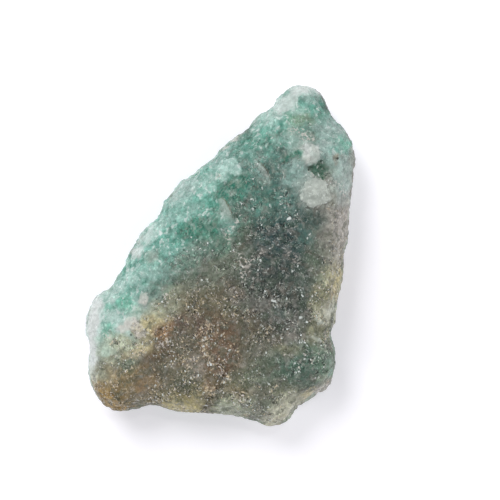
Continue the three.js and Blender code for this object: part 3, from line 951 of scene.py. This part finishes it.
def times(a, b):
    return calculate("MULTIPLY", a, b)


def restOf(share):
    return calculate("SUBTRACT", 1.0, share)


def ramp(value, low, high, fromShare=0.0, toShare=1.0):
    sources = {"Value": value, "From Min": low, "From Max": high, "To Min": fromShare, "To Max": toShare}
    return addNode("MapRange", sources, interpolation_type="SMOOTHSTEP")["Result"]


def blend(share, a, b, mode="MIX"):
    return addNode("Mix", {"Factor": share, "A": a, "B": b}, data_type="RGBA", blend_type=mode)["Result"]


def moved(place, seed):
    # another part of the same noise for each seed
    return vectors("ADD", place, [seed * way for way in jadeFinish["seedWay"]])


def cloudNoise(place, size, seed, detail=2.0):
    return addNode("TexNoise", {"Vector": moved(place, seed), "Scale": 1 / size, "Detail": detail})


def grainCells(place, size):
    # three random shares for each cell, apart and as one colour
    colour = addNode("TexVoronoi", {"Vector": place, "Scale": 1 / size})["Color"]
    return addNode("SeparateColor", {"Color": colour}), colour


def meshMask(name):
    return addNode("Attribute", {}, attribute_name=name)["Fac"]


def markOf(name):
    return ramp(meshMask(name), *jadeFinish["marks"][name])


def wander(place, size, reach, seed):
    # moves a place about, so that edges painted there become ragged
    swing = vectors("SUBTRACT", cloudNoise(place, size, seed)["Color"], noiseMiddle)
    return vectors("ADD", place, scaled(swing, 2 * reach))


def wearOf(place, name):
    wanderBy, noiseBy, span = jadeFinish["wear"][name]
    spot = wander(place, *wanderBy) if wanderBy else place
    return ramp(cloudNoise(spot, *noiseBy)["Fac"], *span)


def lighten(colour, factor):
    grey = addNode("CombineColor", {"Red": factor, "Green": factor, "Blue": factor})["Color"]
    return blend(1.0, colour, grey, "MULTIPLY")


def tonesOf(colour):
    # how dark, how calm (not near white), how green and how warm a colour is, each from 0 to 1
    limits = jadeFinish["tones"]
    lightness = addNode("RGBToBW", {"Color": colour})["Val"]
    red, green, blue = addNode("SeparateColor", {"Color": colour})
    warm = ramp(calculate("SUBTRACT", red, blue), *limits["warm"])
    dark = ramp(lightness, *limits["dark"])
    return {
        "dark": calculate("MAXIMUM", dark, times(warm, limits["warmDark"])),
        "grainy": ramp(lightness, *limits["grainy"]),
        "green": ramp(calculate("SUBTRACT", green, red), *limits["green"]),
        "warm": warm,
    }


def paintMottles(colour, place, tones):
    span = jadeFinish["mottleSpan"]
    for size, reach, seed, stray in jadeFinish["mottles"]:
        spot = wander(place, size, *stray) if stray else place
        swing = ramp(cloudNoise(spot, size, seed, detail=3.0)["Fac"], *span, 1 - reach, 1 + reach)
        colour = blend(tones["grainy"], colour, lighten(colour, swing))
    spec = jadeFinish["driftPlace"]
    spot = wander(place, spec["size"], spec["reach"], spec["seed"])
    drift = cloudNoise(spot, spec["size"], spec["noiseSeed"])["Fac"]
    for paint, tone, (start, end), cover in jadeFinish["drifts"]:
        share = times(tones[tone], ramp(drift, start, end, 0.0, cover))
        colour = blend(share, colour, fromScreen(paint))
    return colour


def paintFineGrains(colour, place, tones, grit):
    # every fine grain a little lighter or darker than its neighbours, then painted shade of the relief:
    # darker in the joints and on the low grains, lighter on the high ones
    fine = jadeFinish["fineGrains"]
    share, lean = grainCells(wander(place, *fine["wander"]), fine["size"])
    swing = times(ramp(tones["dark"], 0.0, 1.0, *fine["swings"]), times(tones["grainy"], grit))
    swing = times(calculate("SUBTRACT", share[0], 0.5), swing)
    colour = lighten(colour, calculate("ADD", 1.0, swing))
    return lighten(colour, markOf("grain")), share[1], lean


def paintPatches(colour, place):
    cloud = wearOf(place, "patchCloud")
    worn = wearOf(place, "patchWorn")
    for mask, paint, cover in jadeFinish["patchCovers"]:
        share = times(ramp(meshMask(mask), *jadeFinish["patchEdge"], 0.0, cover), worn)
        colour = blend(share, colour, lighten(fromScreen(paint), cloud))
    colour = blend(markOf("lipHigh"), colour, fromScreen("quartz"))
    colour = blend(markOf("lipLine"), colour, fromScreen("rust"))
    broken = wearOf(place, "chainBroken")
    for mask, paint, cover in jadeFinish["chainCovers"]:
        chain = times(ramp(meshMask(mask), *jadeFinish["chainEdge"], 0.0, cover), broken)
        colour = blend(chain, colour, lighten(fromScreen(paint), cloud))
    return colour


def gritOf(place):
    # low in a smooth window of stone and over 1 in a gritty clump
    grit = calculate("ADD", 1.0, meshMask("gritChange"))
    for size, seed, ends, shares in jadeFinish["clumps"]:
        grit = times(grit, ramp(cloudNoise(place, size, seed, detail=3.0)["Fac"], *ends, *shares))
    return grit


def scratches(place, size, seed):
    # 1 along thin broken lines, which are the middle heights of a noise
    scratch = jadeFinish["scratch"]
    offset = calculate("SUBTRACT", cloudNoise(place, size, seed, detail=1.0)["Fac"], noiseMiddle[0])
    line = restOf(times(calculate("ABSOLUTE", offset), scratch["thinness"]))
    unbroken = ramp(cloudNoise(place, size, seed + scratch["seedStep"])["Fac"], *scratch["breaks"])
    return times(line, unbroken)


def chanceOf(shape, place, size, k):
    # where the grains of the k-th kind of fleck lie
    seeds = jadeFinish["fleckSeeds"]
    seed = seeds["first"] + seeds["step"] * k
    if shape == "ragged":
        return cloudNoise(place, size, seed)["Fac"]
    if shape == "scratch":
        return scratches(place, size, seed)
    cells = wander(moved(place, seed), size, size * jadeFinish["cellWander"], seeds["cellStep"] * k)
    return grainCells(cells, size)[0][0]


def paintFlecks(colour, place, tones, grit):
    # grains of other colours, more of them in the gritty clumps
    green = tones["green"]
    clumps = times(times(tones["grainy"], grit), restOf(times(green, jadeFinish["greenCalm"])))
    grey = times(clumps, restOf(calculate("MAXIMUM", green, tones["warm"])))
    warm = times(tones["warm"], grit)
    spread = {"all": tones["grainy"], "green": green, "warm": warm, "clumps": clumps, "grey": grey}
    swirl = jadeFinish["swirl"]
    swirled = vectors("MULTIPLY", wander(place, *swirl["wander"]), swirl["stretch"])
    for k, (paint, size, shape, ends, where, covers) in enumerate(jadeFinish["flecks"]):
        amount = times(spread[where], ramp(tones["dark"], 0.0, 1.0, *covers))
        mask = times(ramp(chanceOf(shape, swirled, size, k), *ends), amount)
        fleck = lighten(colour, paint) if isinstance(paint, float) else fromScreen(paint)
        colour = blend(mask, colour, fleck)
    return colour


def leanGrains(place, lean, grit):
    # the surface normal, with every grain face leaning its own way
    bump = jadeFinish["bump"]
    swing = scaled(vectors("SUBTRACT", lean, noiseMiddle), ramp(grit, *jadeFinish["grainLean"]))
    height = cloudNoise(place, bump["size"], 0.0)["Fac"]
    normal = vectors("NORMALIZE", vectors("ADD", addNode("NewGeometry", {})["Normal"], swing))
    depth = bump["depth"] * mm
    sources = {"Strength": bump["strength"], "Distance": depth, "Height": height, "Normal": normal}
    return addNode("Bump", sources)["Normal"]


def makeJade():
    place = scaled(addNode("TexCoord", {})["Object"], 1 / mm)  # the stone's own millimetres
    bodyColour = addNode("Attribute", {}, attribute_name="bodyColour")["Color"]
    tones = tonesOf(bodyColour)
    grit = gritOf(place)
    colour = paintMottles(bodyColour, place, tones)
    colour, gloss, lean = paintFineGrains(colour, place, tones, grit)
    colour = paintPatches(colour, place)
    # painted glow: thin edges are paled towards a near-white mint, broken up by a noise, as light through the
    # stone would light them
    colour = blend(times(markOf("paintedEdgeGlow"), wearOf(place, "glowBroken")), colour, fromScreen("mintIce"))
    colour = paintFlecks(colour, place, tonesOf(colour), grit)
    # painted glints: near-white spots that stand for reflected light
    colour = blend(markOf("glint"), colour, fromScreen("ice"))
    colour = blend(markOf("hole"), colour, fromScreen("hole"))
    finish = {
        "Base Color": colour,
        "Roughness": ramp(gloss, 0.0, 1.0, *jadeFinish["roughness"]),
        "IOR": jadeFinish["ior"],
        "Specular IOR Level": jadeFinish["specular"],
        "Subsurface Weight": jadeFinish["translucence"],
        "Subsurface Radius": jadeFinish["glow"]["radius"],
        "Subsurface Scale": jadeFinish["glow"]["depth"] * mm,
        "Normal": leanGrains(place, lean, grit),
    }
    for socket, source in finish.items():
        wire(source, shader.inputs[socket])


makeJade()
stone.data.materials.append(jade)
print("jade finish ready")

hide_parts("stone")
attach(stone, "root")
